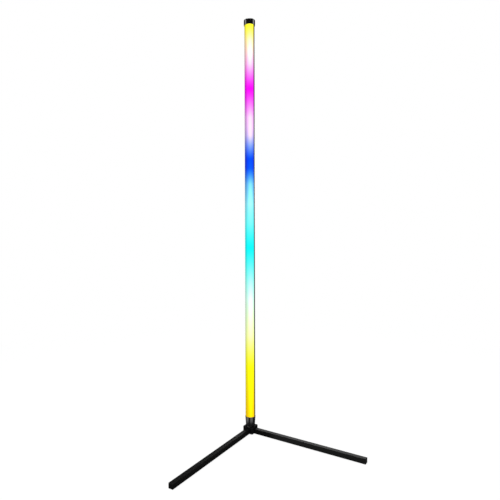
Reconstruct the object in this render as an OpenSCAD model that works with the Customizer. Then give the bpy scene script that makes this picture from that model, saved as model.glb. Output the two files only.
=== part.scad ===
// Corner floor lamp: an upright light pole that turns by hand on a V-shaped floor base.
// Millimetres, +Z up. The origin is on the pole's axis at floor level. The open side of
// the V faces -Y, and the pole's milky front is turned from there by aim_deg.

/* [Whole lamp] */
// Height from the floor to the top of the cap
lamp_h = 1200; // [1000:10:1500]
// Turn of the lit front away from straight ahead
aim_deg = -25; // [-180:1:180]

/* [Pole] */
// Outside diameter of the light pole
pole_d = 28.8; // [28:0.2:34]
// Wall of the aluminium channel
channel_wall = 1.5; // [1.2:0.1:1.8]
// Part of the round section that the milky diffuser covers
diffuser_arc = 130; // [115:1:140]
// Wall of the diffuser
diffuser_wall = 1.3; // [1:0.1:1.6]
// Set-back of the light strip's shelf behind the pole's axis
shelf_back = 1.5; // [1:0.1:2]
// Thickness of that shelf
shelf_t = 1.5; // [1.2:0.1:2]
// Arc that each snap foot of the diffuser reaches behind the channel's lip
snap_arc = 14; // [10:1:18]
// Thickness of a snap foot
snap_t = 1.3; // [1:0.1:1.5]
// Arc of the rib in the channel that stops a snap foot
snap_rib_arc = 4; // [3:1:6]
// Gap between the diffuser's edge and the channel's lip
snap_gap = 0.1; // [0.05:0.05:0.2]

/* [Top cap] */
// Height of the cap
cap_h = 15.8; // [12:0.1:20]
// Wall of the cap's skirt
cap_wall = 1.6; // [1:0.05:2]
// Thickness of the cap's top
cap_top = 2; // [1.6:0.1:3]
// Radius of the cap's rounded shoulder
cap_shoulder = 2; // [1:0.1:3.6]
// Bevel round the skirt's lower edge
cap_lip = 0.5; // [0.2:0.1:0.8]
// Depth of the tongue under the cap
cap_tongue = 9; // [6:0.5:12]
// Clearance of push-on fits round the pole
push_fit = 0.1; // [0.05:0.05:0.2]

/* [Pole foot] */
// Diameter of the foot where it stands on the hub
foot_d = 26.4; // [25:0.2:30]
// Height of the foot
foot_h = 29.5; // [26:0.5:34]
// How far the foot's rim stands proud of the pole
foot_rim = 0.8; // [0.2:0.1:1.4]
// Height of the foot's solid lower part
foot_solid = 12.5; // [11:0.5:13]
// Wall round the foot's hollow, measured in from the pole's surface
foot_wall = 2.9; // [2.5:0.1:3]
// Height of the tongue that the channel is screwed to
foot_tongue = 22; // [18:1:28]
// Diameter of the wire passage in the tongue
wire_passage_d = 6; // [5:0.2:7]

/* [Swivel] */
// Diameter of the foot's pivot stub
stub_d = 12; // [10:0.5:14]
// Radial running clearance of the stub in the hub
stub_fit = 0.05; // [0.02:0.01:0.1]
// Thickness of the sliding washer between foot and hub
slide_washer_t = 0.5; // [0.4:0.1:1]
// Diameter of the sliding washer
slide_washer_d = 25; // [20:0.5:26]
// Thread diameter of the pole bolt
bolt_d = 6; // [5:0.5:6]
// Length of the bolt under its head
bolt_l = 18; // [16:1:19]
// Diameter of the bolt's head
bolt_head_d = 10; // [9:0.5:11]
// Height of the bolt's head
bolt_head_h = 4.5; // [3:0.5:5]
// Diameter of the clamp washer under the hub's roof
clamp_washer_d = 18; // [15:0.5:19]
// Thickness of the clamp washer
clamp_washer_t = 1; // [0.8:0.1:1.6]
// Thickness of the spring washer
spring_washer_t = 1.6; // [1:0.1:2]
// Diameter of the spring washer
spring_washer_d = 10.6; // [10:0.2:12]
// Outside diameter of the brass insert
insert_d = 8; // [7.5:0.5:9]
// Length of the brass insert
insert_l = 11; // [8:0.5:12]

/* [Hub] */
// Width of the square hub across its leg faces
hub_w = 33.2; // [32:0.2:38]
// Height of the hub's moulding
hub_h = 18.9; // [18:0.1:24]
// Chamfer on the hub's upright corners
hub_chamfer = 2.7; // [1:0.1:3.2]
// Bevel round the hub's top
hub_bevel = 0.8; // [0.4:0.1:1.2]
// Thickness of the hub's side walls
hub_wall = 2.6; // [2.2:0.1:3]
// Thickness of the hub's roof
hub_roof = 5; // [4:0.5:6]
// Diameter of the screw bosses in the hub
hub_boss_d = 5.6; // [5:0.2:6]
// Thickness of the stiffening ribs in the hub
hub_rib_t = 2; // [1.5:0.5:3]
// Thickness of the hub's bottom cover
cover_t = 1.6; // [1.4:0.1:2.5]
// Clearance round the bottom cover
cover_fit = 0.15; // [0.1:0.05:0.3]
// Thickness of the hub's rubber pad
hub_pad_t = 0.8; // [0.6:0.1:1.2]
// Width of the hub's rubber pad
hub_pad_w = 24; // [20:0.5:26]

/* [Legs] */
// Reach of a leg's end from the pole's axis
leg_reach = 353.5; // [280:0.5:450]
// Side of the square leg tube
leg_w = 14; // [12.6:0.2:15]
// Wall of the leg tube
leg_wall = 1.2; // [1:0.1:1.5]
// Radius of the leg tube's long edges
leg_edge_r = 1.3; // [1:0.1:1.8]
// Length of the hub spigot inside a leg
spigot_l = 24; // [20:1:32]
// Clearance round spigots and plugs in the leg tube
spigot_fit = 0.2; // [0.1:0.05:0.3]
// Thickness of the end plug's head
plug_head = 2; // [1.5:0.5:4]
// Depth of the end plug inside the leg
plug_l = 10; // [6:1:16]
// Length of a leg's rubber pad
leg_pad_l = 22; // [15:1:35]
// Width of a leg's rubber pad
leg_pad_w = 10; // [6:0.5:10.4]
// Thickness of a leg's rubber pad
leg_pad_t = 0.6; // [0.4:0.1:1.2]
// Distance of the pad from the leg's end
leg_pad_inset = 6; // [3:1:20]

/* [Screws] */
// Diameter of the leg and channel screws
screw_d = 3; // [2.6:0.1:3.2]
// Diameter of their countersunk heads
screw_head_d = 5.5; // [5:0.1:5.8]
// Length of the leg and channel screws
screw_l = 7; // [6:0.5:8]
// Distance from the hub's face to the first leg screw
leg_screw_in = 6; // [5:0.5:8]
// Distance between a leg's two screws
leg_screw_pitch = 12; // [8:0.5:13]
// Height of the channel screws above the foot's rim
foot_screw_up = 11; // [6:0.5:14]
// Turn of the channel screws from the middle of the back
foot_screw_turn = 42; // [38:1:45]
// Diameter of the cover screws
cover_screw_d = 2.5; // [2:0.1:2.6]
// Diameter of the cover screws' heads
cover_screw_head_d = 4.6; // [4:0.1:5]
// Length of the cover screws
cover_screw_l = 8; // [6:0.5:9]
// Clearance of screws in plain holes
screw_fit = 0.1; // [0.05:0.05:0.15]

/* [Light strip] */
// Width of the flexible light strip
strip_w = 10; // [8:0.5:12]
// Thickness of the strip
strip_t = 0.3; // [0.2:0.1:0.5]
// Distance of the strip's ends from the pole's ends
strip_inset = 3; // [2:0.5:8]
// Side of one light chip
chip_w = 5; // [3:0.5:5]
// Height of one light chip
chip_h = 1.5; // [0.8:0.1:1.8]
// Distance from one chip to the next
chip_pitch = 16.7; // [12:0.1:33]

/* [Controller] */
// Length of the controller board
board_l = 66; // [56:1:90]
// Width of the controller board
board_w = 16; // [14:0.5:17]
// Thickness of the boards
board_t = 1; // [0.8:0.1:1.6]
// Thickness of the foam tape under the board
tape_t = 1; // [0.8:0.1:1.2]
// Gap between the foot's tongue and the board
board_gap = 9; // [8:0.5:20]
// Diameter of one insulated wire
wire_d = 1.4; // [1:0.1:1.5]

/* [Power inlet] */
// Height of the inlet's axis above the foot's underside
jack_up = 19.3; // [18.5:0.1:20]
// Diameter of the inlet's threaded barrel
jack_d = 7.9; // [7.5:0.1:8]
// Length of the barrel behind its flange
jack_l = 12.5; // [11:0.5:13]
// Diameter of the inlet's flange
jack_flange_d = 11; // [10:0.2:11.4]
// Thickness of the flange
jack_flange_t = 1.4; // [1:0.1:1.8]
// Diameter of the socket that the plug enters
jack_bore_d = 5.6; // [5:0.1:6]
// Depth of that socket
jack_bore_l = 9.5; // [8:0.5:10]
// Diameter of the socket's centre pin
jack_pin_d = 2; // [1.6:0.1:2.5]
// Width across the flats of the inlet's nut
jack_nut_w = 10; // [9.5:0.1:10.4]
// Thickness of the inlet's nut
jack_nut_t = 2; // [1.5:0.1:2.2]
// Thickness of the foot's wall at the inlet
jack_seat_t = 2.8; // [2:0.1:3]
// Depth of the flat pocket round the flange
jack_pocket = 1.5; // [1.2:0.1:1.8]

/* [Hidden] */
$fn = 72;

RIGHT_TURN = -45;
LEFT_TURN = -135;
CUT = 1;            // overshoot of a cutting shape past the face it opens
FAR = 100;          // longer than any section
STUB_GAP = 0.3;     // from the stub's end down to the clamp washer
HOLE_FIT = 0.4;     // play of the clamp washer's hole on the bolt
SPRING_FIT = 0.2;   // play of the spring washer's hole on the bolt
SHELF_HOLE_D = 5;   // hole through the channel's shelf for the strip's lead
STRIP_WIRE_D = 1.2; // wires of that lead
STRIP_WIRE_GAP = 1.7;
SLOT_W = 0.7;       // width and depth of a cross recess
SLOT_L = 0.55;      // its length as a share of the screw head
HEAD_SINK = 0.2;    // how far the channel screws' heads lie under the pole's surface
RIB_GAP = 0.6;      // from the clamp washer's rim to the hub's ribs
POCKET_GAP = 0.5;   // from the inlet's flange to the sides of its pocket
BOLT_SOCKET = 2.5;  // depth of the hexagon socket in the bolt's head
TAB = [1.8, 0.4, 3.5]; // one solder tab: width, thickness, length
TAB_AT = 2.4;       // its distance from the inlet's axis

// Heights from the floor up
hub_z0 = hub_pad_t;
hub_z1 = hub_z0 + hub_h;
roof_z0 = hub_z1 - hub_roof;
foot_z0 = hub_z1 + slide_washer_t;
foot_z1 = foot_z0 + foot_h;
pole_z1 = lamp_h - cap_top;
cap_z0 = lamp_h - cap_h;
leg_z = leg_pad_t + leg_w / 2;
stub_z0 = roof_z0 + STUB_GAP;
bolt_seat_z = roof_z0 - clamp_washer_t - spring_washer_t;
insert_z0 = foot_z0 + 0.5;
jack_z = foot_z0 + jack_up;

// Pole section
pole_r = pole_d / 2;
channel_r = pole_r - channel_wall;
diffuser_r = pole_r - diffuser_wall;
half_arc = diffuser_arc / 2;
gap_arc = snap_gap / pole_r * 180 / PI;
snap_r = min(channel_r, diffuser_r) - snap_gap;
tunnel_y = shelf_back + shelf_t;

// Foot
rim_r = pole_r + foot_rim;
foot_hollow_r = pole_r - foot_wall;
tongue_z1 = foot_z1 + foot_tongue;
seat_r = foot_d / 2 + (rim_r - foot_d / 2) * jack_up / foot_h;
seat_y = seat_r - jack_pocket;
pocket_w = jack_flange_d + 2 * POCKET_GAP;
passage_y = tunnel_y + 4;

// Board
board_y = tunnel_y + tape_t;
board_top_y = board_y + board_t;
board_z0 = tongue_z1 + board_gap;
board_z1 = board_z0 + board_l;
shelf_hole_z = tongue_z1 + 4;
shelf_hole_x = strip_w / 2 + 3.6;

// Hub
hub_inner = hub_w - 2 * hub_wall;
boss_at = hub_inner / 2 - hub_boss_d / 2;
leg_start = hub_w / 2;
tube_end = leg_reach - plug_head;
spigot_w = leg_w - 2 * leg_wall - 2 * spigot_fit;
leg_screw_x = [leg_start + leg_screw_in, leg_start + leg_screw_in + leg_screw_pitch];

// Routes of the inner wires, in the pole's own frame
inlet_rise = [[-3.2, -1.0], [-4.6, 0.6], [-4.2, 3.2], [-1.5, 5.2], [2.0, 6.6]];
strip_route = [
    [4.2, board_top_y + 1.5, board_z0 + 4],
    [4.4, board_top_y + 1.5, board_z0 + 1.5],
    [5.4, board_top_y + 0.6, board_z0 - 1.5],
    [6.8, board_top_y - 1.2, shelf_hole_z + 1.6],
    [7.7, tunnel_y - 0.6, shelf_hole_z + 0.2],
    [7.7, shelf_back - 0.2, shelf_hole_z - 0.5],
    [7.4, shelf_back - 1.6, shelf_hole_z - 2.5],
    [6.2, shelf_back - 2.3, shelf_hole_z - 6],
    [4, shelf_back - 2, foot_z1 + strip_inset + 6],
    [2.6, shelf_back - strip_t - wire_d / 2, foot_z1 + strip_inset + 2.5]
];

// ---- helpers ----

module in_pole_frame() {
    rotate([0, 0, aim_deg]) children();
}

// A slice of a round section, with angles counted from straight ahead (-Y)
module pie(r, from, to) {
    step = (to - from) / 8;
    polygon(concat([[0, 0]], [for (i = [0:8]) 1.5 * r * [sin(from + i * step), -cos(from + i * step)]]));
}

module band(r_in, r_out, from, to) {
    intersection() {
        difference() {
            circle(r = r_out);
            circle(r = r_in);
        }
        pie(r_out, from, to);
    }
}

// The D-shaped space behind the shelf, shrunk by a clearance
module tunnel(fit) {
    intersection() {
        circle(r = channel_r - fit);
        translate([-FAR / 2, tunnel_y + fit]) square(FAR);
    }
}

module rounded_square(w, r) {
    square([w, w - 2 * r], center = true);
    square([w - 2 * r, w], center = true);
    for (x = [-1, 1], y = [-1, 1]) translate([x, y] * (w / 2 - r)) circle(r = r, $fn = 32);
}

module chamfered_square(w, c) {
    h = w / 2;
    polygon([[h, h - c], [h - c, h], [c - h, h], [-h, h - c],
             [-h, c - h], [c - h, -h], [h - c, -h], [h, c - h]]);
}

// A countersunk screw on the Z axis, its head's face at z = 0 and its tip below
module countersunk(d, head_d, l, grow = 0) {
    drop = (head_d - d) / 2;
    translate([0, 0, -drop]) cylinder(d1 = d + 2 * grow, d2 = head_d + 2 * grow, h = drop);
    translate([0, 0, -l]) cylinder(d = d + 2 * grow, h = l - drop);
    if (grow > 0) cylinder(d = head_d + 2 * grow, h = CUT);
}

// The cross recess of a screw with this head, cut from z = 0 down
module cross_recess(head_d) {
    slot = SLOT_L * head_d;
    for (turn = [0, 90]) rotate([0, 0, turn]) translate([-slot / 2, -SLOT_W / 2, -SLOT_W])
        cube([slot, SLOT_W, SLOT_W + CUT]);
}

module washer(d, hole, t) {
    difference() {
        cylinder(d = d, h = t);
        translate([0, 0, -CUT]) cylinder(d = hole, h = t + 2 * CUT);
    }
}

// A round wire swept along a list of points, closed at both ends
function unit(v) = v / norm(v);
function heading(path, i) = unit(path[min(i + 1, len(path) - 1)] - path[max(i - 1, 0)]);
function side_of(t) = unit(cross(t, abs(t[0]) < 0.8 ? [1, 0, 0] : [0, 1, 0]));
module wire(path, d) {
    sides = 8;
    last = len(path) - 1;
    points = [for (i = [0:last]) let (t = heading(path, i), u = side_of(t), v = cross(t, u))
        for (k = [0:sides - 1]) path[i] + d / 2 * (cos(k * 45) * u + sin(k * 45) * v)];
    walls = [for (i = [0:last - 1], k = [0:sides - 1]) let (n = (k + 1) % sides)
        [i * sides + k, (i + 1) * sides + k, (i + 1) * sides + n, i * sides + n]];
    ends = [[for (k = [0:sides - 1]) k], [for (k = [sides - 1:-1:0]) last * sides + k]];
    polyhedron(points, concat(walls, ends));
}

// ---- base ----

module hub_outline() {
    intersection() {
        translate([0, 0, hub_z0]) linear_extrude(hub_h) chamfered_square(hub_w, hub_chamfer);
        for_both_faces() hub_side_profile();
    }
}

// The bevelled side view, swept across the hub both ways
module for_both_faces() {
    intersection() {
        rotate([90, 0, 0]) translate([0, 0, -FAR / 2]) linear_extrude(FAR) children();
        rotate([90, 0, 90]) translate([0, 0, -FAR / 2]) linear_extrude(FAR) children();
    }
}

module hub_side_profile() {
    h = hub_w / 2;
    polygon([[-h, hub_z0], [h, hub_z0], [h, hub_z1 - hub_bevel], [h - hub_bevel, hub_z1],
             [hub_bevel - h, hub_z1], [-h, hub_z1 - hub_bevel]]);
}

module hub_hollow() {
    difference() {
        translate([0, 0, hub_z0 - CUT]) linear_extrude(roof_z0 - hub_z0 + CUT)
            chamfered_square(hub_inner, hub_chamfer);
        for (s = [-1, 1]) translate([s * boss_at, s * boss_at, hub_z0 + cover_t])
            cylinder(d = hub_boss_d, h = hub_h);
        for (turn = [0:90:270]) rotate([0, 0, turn])
            translate([clamp_washer_d / 2 + RIB_GAP, -hub_rib_t / 2, hub_z0 + cover_t])
                cube([hub_w, hub_rib_t, hub_h]);
    }
}

module spigot() {
    difference() {
        translate([leg_start - hub_wall / 2, 0, leg_z]) rotate([0, 90, 0])
            linear_extrude(spigot_l + hub_wall / 2) square(spigot_w, center = true);
        for (x = leg_screw_x) translate([x, 0, leg_z - spigot_w / 2 - CUT])
            cylinder(d = screw_d, h = spigot_w - 1 + CUT);
        for (x = leg_screw_x) leg_screw(x, screw_fit);
    }
}

module leg_screw(x, grow = 0) {
    translate([x, 0, leg_pad_t]) rotate([180, 0, 0]) countersunk(screw_d, screw_head_d, screw_l, grow);
}

module base_hub() {
    color("#141416") {
        rotate([0, 0, RIGHT_TURN]) difference() {
            hub_outline();
            hub_hollow();
            cylinder(d = stub_d + 2 * stub_fit, h = hub_z1 + CUT);
            for (s = [-1, 1]) translate([s * boss_at, s * boss_at, 0])
                cylinder(d = cover_screw_d, h = hub_z0 + cover_screw_l + CUT);
        }
        for (turn = [RIGHT_TURN, LEFT_TURN]) rotate([0, 0, turn]) spigot();
    }
}

module hub_cover() {
    color("#1c1c1e") rotate([0, 0, RIGHT_TURN]) difference() {
        translate([0, 0, hub_z0]) linear_extrude(cover_t)
            chamfered_square(hub_inner - 2 * cover_fit, hub_chamfer);
        for (s = [-1, 1]) cover_screw(s, screw_fit);
    }
}

module cover_screw(s, grow = 0) {
    translate([s * boss_at, s * boss_at, hub_z0]) rotate([180, 0, 0])
        countersunk(cover_screw_d, cover_screw_head_d, cover_screw_l, grow);
}

module hub_cover_screws() {
    color("#8c8c90") rotate([0, 0, RIGHT_TURN]) for (s = [-1, 1]) difference() {
        cover_screw(s);
        translate([s * boss_at, s * boss_at, hub_z0]) rotate([180, 0, 0]) cross_recess(cover_screw_head_d);
    }
}

module hub_pad() {
    color("#26262a") rotate([0, 0, RIGHT_TURN]) linear_extrude(hub_pad_t) rounded_square(hub_pad_w, 3);
}

module leg() {
    color("#1b1b1d") difference() {
        translate([leg_start, 0, leg_z]) rotate([0, 90, 0])
            linear_extrude(tube_end - leg_start) difference() {
                rounded_square(leg_w, leg_edge_r);
                square(leg_w - 2 * leg_wall, center = true);
            }
        for (x = leg_screw_x) leg_screw(x, screw_fit);
    }
}

module leg_plug() {
    color("#161618") {
        translate([tube_end, 0, leg_z]) rotate([0, 90, 0]) linear_extrude(plug_head)
            rounded_square(leg_w, leg_edge_r);
        translate([tube_end - plug_l, 0, leg_z]) rotate([0, 90, 0]) linear_extrude(plug_l)
            square(spigot_w, center = true);
    }
}

module leg_pad() {
    color("#2a2a2e") translate([leg_reach - leg_pad_inset - leg_pad_l, -leg_pad_w / 2, 0])
        cube([leg_pad_l, leg_pad_w, leg_pad_t]);
}

module right_leg() rotate([0, 0, RIGHT_TURN]) leg();
module left_leg() rotate([0, 0, LEFT_TURN]) leg();
module right_leg_plug() rotate([0, 0, RIGHT_TURN]) leg_plug();
module left_leg_plug() rotate([0, 0, LEFT_TURN]) leg_plug();
module right_leg_pad() rotate([0, 0, RIGHT_TURN]) leg_pad();
module left_leg_pad() rotate([0, 0, LEFT_TURN]) leg_pad();

module leg_screws() {
    color("#8c8c90") for (turn = [RIGHT_TURN, LEFT_TURN], x = leg_screw_x) rotate([0, 0, turn]) difference() {
        leg_screw(x);
        translate([x, 0, leg_pad_t]) rotate([180, 0, 0]) cross_recess(screw_head_d);
    }
}

// ---- swivel ----

module slide_washer() {
    color("#d8d8d4") translate([0, 0, hub_z1]) washer(slide_washer_d, stub_d + 1, slide_washer_t);
}

module clamp_washer() {
    color("#a8a8ac") translate([0, 0, roof_z0 - clamp_washer_t])
        washer(clamp_washer_d, bolt_d + HOLE_FIT, clamp_washer_t);
}

module spring_washer() {
    color("#9a9aa0") in_pole_frame() translate([0, 0, bolt_seat_z]) difference() {
        washer(spring_washer_d, bolt_d + SPRING_FIT, spring_washer_t);
        translate([0, -0.5, -CUT]) cube([spring_washer_d, 1, spring_washer_t + 2 * CUT]);
    }
}

module pole_bolt() {
    color("#55555a") in_pole_frame() difference() {
        union() {
            translate([0, 0, bolt_seat_z - bolt_head_h]) cylinder(d = bolt_head_d, h = bolt_head_h);
            translate([0, 0, bolt_seat_z]) cylinder(d = bolt_d, h = bolt_l);
        }
        translate([0, 0, bolt_seat_z - bolt_head_h - CUT])
            cylinder(d = 0.95 * bolt_d, h = BOLT_SOCKET + CUT, $fn = 6);
    }
}

// ---- pole ----

module foot_shell() {
    rotate_extrude() polygon([[0, foot_z0], [foot_d / 2, foot_z0], [rim_r, foot_z1], [0, foot_z1]]);
    translate([0, 0, stub_z0]) cylinder(d = stub_d, h = foot_z0 - stub_z0 + CUT);
    translate([0, 0, foot_z1 - CUT]) linear_extrude(foot_tongue + CUT) tunnel(push_fit);
}

module foot_hollow() {
    translate([0, 0, foot_z0 + foot_solid]) linear_extrude(foot_h - foot_solid) intersection() {
        circle(r = foot_hollow_r);
        translate([-FAR / 2, seat_y - jack_seat_t - FAR]) square(FAR);
    }
}

module pole_foot() {
    color("#141416") in_pole_frame() difference() {
        foot_shell();
        foot_hollow();
        translate([0, 0, stub_z0 - CUT]) cylinder(d = bolt_d + 0.6, h = foot_h);
        translate([0, 0, insert_z0]) cylinder(d = insert_d, h = foot_solid);
        translate([0, passage_y, foot_z1 - CUT]) cylinder(d = wire_passage_d, h = foot_tongue + 2 * CUT);
        translate([-pocket_w / 2, seat_y, jack_z - pocket_w / 2]) cube([pocket_w, FAR, pocket_w]);
        translate([0, 0, jack_z]) rotate([-90, 0, 0]) cylinder(d = jack_d + 2 * push_fit, h = FAR);
        for (s = [-1, 1]) foot_screw(s, 0);
    }
}

// A channel screw, put in from the back at one side of the middle
module foot_screw(s, grow) {
    rotate([0, 0, s * foot_screw_turn]) translate([0, pole_r - HEAD_SINK, foot_z1 + foot_screw_up])
        rotate([-90, 0, 0]) countersunk(screw_d, screw_head_d, screw_l, grow);
}

module foot_screws() {
    color("#8c8c90") in_pole_frame() for (s = [-1, 1]) difference() {
        foot_screw(s, 0);
        rotate([0, 0, s * foot_screw_turn]) translate([0, pole_r - HEAD_SINK, foot_z1 + foot_screw_up])
            rotate([-90, 0, 0]) cross_recess(screw_head_d);
    }
}

module foot_insert() {
    color("#c8a04a") in_pole_frame() translate([0, 0, insert_z0]) washer(insert_d, bolt_d, insert_l);
}

module channel_section() {
    band(channel_r, pole_r, half_arc, 360 - half_arc);
    intersection() {
        circle(r = channel_r + channel_wall / 2);
        translate([-FAR / 2, shelf_back]) square([FAR, shelf_t]);
    }
    for (s = [-1, 1]) {
        start = s * (half_arc + snap_arc + gap_arc);
        band(snap_r - snap_t, channel_r + channel_wall / 2, min(start, start + s * snap_rib_arc),
             max(start, start + s * snap_rib_arc));
    }
}

module pole_channel() {
    color("#202124") in_pole_frame() difference() {
        translate([0, 0, foot_z1]) linear_extrude(pole_z1 - foot_z1) channel_section();
        for (s = [-1, 1]) foot_screw(s, screw_fit);
        translate([shelf_hole_x, 0, shelf_hole_z]) rotate([-90, 0, 0])
            cylinder(d = SHELF_HOLE_D, h = tunnel_y + CUT);
    }
}

module diffuser_section() {
    edge = half_arc - gap_arc;
    band(diffuser_r, pole_r, -edge, edge);
    for (s = [-1, 1]) {
        band(snap_r - snap_t, snap_r, min(s * (half_arc - 5), s * (half_arc + snap_arc)),
             max(s * (half_arc - 5), s * (half_arc + snap_arc)));
        band(snap_r - snap_t / 2, diffuser_r + diffuser_wall / 2, min(s * (half_arc - 4), s * (edge - 1)),
             max(s * (half_arc - 4), s * (edge - 1)));
    }
}

module diffuser() {
    color("#f4f4f2") in_pole_frame() translate([0, 0, foot_z1]) linear_extrude(pole_z1 - foot_z1)
        diffuser_section();
}

module top_cap() {
    cap_r = pole_r + push_fit + cap_wall;
    inner_r = pole_r + push_fit;
    color("#141416") in_pole_frame() {
        rotate_extrude() polygon(concat(
            [[0, pole_z1], [inner_r, pole_z1], [inner_r, cap_z0],
             [cap_r - cap_lip, cap_z0], [cap_r, cap_z0 + cap_lip]],
            [for (a = [0:10:90]) [cap_r - cap_shoulder + cap_shoulder * cos(a),
                                  lamp_h - cap_shoulder + cap_shoulder * sin(a)]],
            [[0, lamp_h]]));
        translate([0, 0, pole_z1 - cap_tongue]) linear_extrude(cap_tongue + cap_top / 2) tunnel(push_fit);
    }
}

// ---- light strip and controller ----

module light_strip() {
    color("#f0f0ea") in_pole_frame() translate([-strip_w / 2, shelf_back - strip_t, foot_z1 + strip_inset])
        cube([strip_w, strip_t, pole_z1 - foot_z1 - 2 * strip_inset]);
}

module light_chips() {
    room = pole_z1 - foot_z1 - 2 * strip_inset - chip_pitch;
    count = floor(room / chip_pitch) + 1;
    first = foot_z1 + strip_inset + (room - (count - 1) * chip_pitch) / 2 + chip_pitch / 2;
    color("#fffbe0") in_pole_frame() for (i = [0:count - 1])
        translate([-chip_w / 2, shelf_back - strip_t - chip_h, first + i * chip_pitch - chip_w / 2])
            cube([chip_w, chip_h, chip_w]);
}

module board_tape() {
    color("#e6e6e0") in_pole_frame() translate([-board_w / 2 + 1, tunnel_y, board_z0 + 4])
        cube([board_w - 2, tape_t, board_l - 8]);
}

module controller_board() {
    color("#1f6b3a") in_pole_frame() translate([-board_w / 2, board_y, board_z0])
        cube([board_w, board_t, board_l]);
}

// A part that stands on the board: [x, height along the board, width, length, thickness]
module board_block(x, up, w, l, t) {
    translate([x - w / 2, board_top_y, board_z0 + up]) cube([w, t, l]);
}

module board_parts() {
    color("#2b2b2e") in_pole_frame() {
        board_block(-3.4, 20, 4, 5, 1.5);
        board_block(3.4, 20, 4, 5, 1.5);
        board_block(0, 30, 6, 6, 2.6);
        for (i = [0:3]) board_block(-4.5 + 3 * i, 40, 1.6, 0.9, 0.5);
        translate([0, board_top_y, board_z0 + 13]) rotate([-90, 0, 0]) cylinder(d = 5, h = 4.2);
    }
}

module radio_receiver() {
    color("#24508c") in_pole_frame() {
        board_block(0, board_l - 15, 8, 2, 1.8);
        translate([-5, board_top_y + 1.8, board_z0 + board_l - 16]) cube([10, board_t, 12]);
        translate([-2.5, board_top_y + 1.8 + board_t, board_z0 + board_l - 12]) cube([5, 0.8, 5]);
    }
}

module board_plug() {
    color("#f2f2ee") in_pole_frame() board_block(5, 4, 5, 4, 3);
}

module strip_lead() {
    color("#d8d8d8") in_pole_frame() for (dx = [0, STRIP_WIRE_GAP])
        wire([for (p = strip_route) p + [dx, 0, 0]], STRIP_WIRE_D);
}

module inlet_lead() {
    color("#b02a2a") in_pole_frame() for (s = [-1, 1]) let (x = s * 0.9)
        wire(concat([for (p = inlet_rise) [x, p[0], jack_z + s * 0.6 + p[1]]],
             [[x, passage_y - 2.4, foot_z1 - 1.2],
              [x, passage_y - 0.6, foot_z1 + 1.6],
              [x, passage_y, foot_z1 + 5],
              [x, passage_y, tongue_z1 - 2],
              [x, passage_y - 0.2, tongue_z1 + 3],
              [x, board_top_y + wire_d / 2 + 0.2, board_z0 + 0.5],
              [x, board_top_y + wire_d / 2, board_z0 + 5]]), wire_d);
}

// ---- power inlet ----

module on_inlet_axis() {
    in_pole_frame() translate([0, seat_y, jack_z]) rotate([-90, 0, 0]) children();
}

module power_inlet() {
    color("#18181a") on_inlet_axis() difference() {
        union() {
            cylinder(d = jack_flange_d, h = jack_flange_t);
            translate([0, 0, -jack_l]) cylinder(d = jack_d, h = jack_l + CUT);
        }
        translate([0, 0, jack_flange_t - jack_bore_l]) cylinder(d = jack_bore_d, h = jack_bore_l + CUT);
    }
}

module inlet_pin() {
    color("#c8a04a") on_inlet_axis() translate([0, 0, jack_flange_t - jack_bore_l])
        cylinder(d = jack_pin_d, h = jack_bore_l - 1);
}

module inlet_tabs() {
    color("#c8a04a") on_inlet_axis() for (s = [-1, 1])
        translate([-TAB[0] / 2, s * TAB_AT - TAB[1] / 2, -jack_l - TAB[2]]) cube(TAB);
}

module inlet_nut() {
    color("#9a9aa0") on_inlet_axis() translate([0, 0, -jack_seat_t - jack_nut_t]) difference() {
        rotate([0, 0, 30]) cylinder(d = jack_nut_w / cos(30), h = jack_nut_t, $fn = 6);
        translate([0, 0, -CUT]) cylinder(d = jack_d, h = jack_nut_t + 2 * CUT);
    }
}

base_hub();
hub_cover();
hub_cover_screws();
hub_pad();
right_leg();
left_leg();
leg_screws();
right_leg_plug();
left_leg_plug();
right_leg_pad();
left_leg_pad();
slide_washer();
clamp_washer();
spring_washer();
pole_bolt();
pole_foot();
foot_insert();
foot_screws();
pole_channel();
diffuser();
top_cap();
light_strip();
light_chips();
board_tape();
controller_board();
board_parts();
radio_receiver();
board_plug();
strip_lead();
inlet_lead();
power_inlet();
inlet_pin();
inlet_tabs();
inlet_nut();
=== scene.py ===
"""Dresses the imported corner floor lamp: softened edges, small parts, finishes, stage and camera.

Everything is in metres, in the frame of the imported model: the pole's axis is the Z axis,
the floor is z = 0, and the open side of the V of legs faces -Y.
"""

import math

import bmesh
import bpy
from bpy.props import CollectionProperty, FloatProperty, FloatVectorProperty, IntProperty, PointerProperty
from bpy.types import Operator, Panel, PropertyGroup
from mathutils import Matrix, Vector


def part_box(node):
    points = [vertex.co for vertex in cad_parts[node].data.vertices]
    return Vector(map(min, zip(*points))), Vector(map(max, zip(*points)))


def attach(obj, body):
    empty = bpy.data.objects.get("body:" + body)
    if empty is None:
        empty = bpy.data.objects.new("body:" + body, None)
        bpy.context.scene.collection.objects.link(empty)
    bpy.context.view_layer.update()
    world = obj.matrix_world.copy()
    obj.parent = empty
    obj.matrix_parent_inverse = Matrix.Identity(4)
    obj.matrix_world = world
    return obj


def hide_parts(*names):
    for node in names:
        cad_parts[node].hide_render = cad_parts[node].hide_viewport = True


bl_info = {
    "name": "Corner Floor Lamp",
    "version": (1, 0, 0),
    "blender": (4, 5, 0),
    "location": "View3D > Sidebar > Corner Lamp",
    "description": "Finishes, fine edges and small parts of a corner floor lamp with a turning light pole",
    "category": "Object",
}

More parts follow.
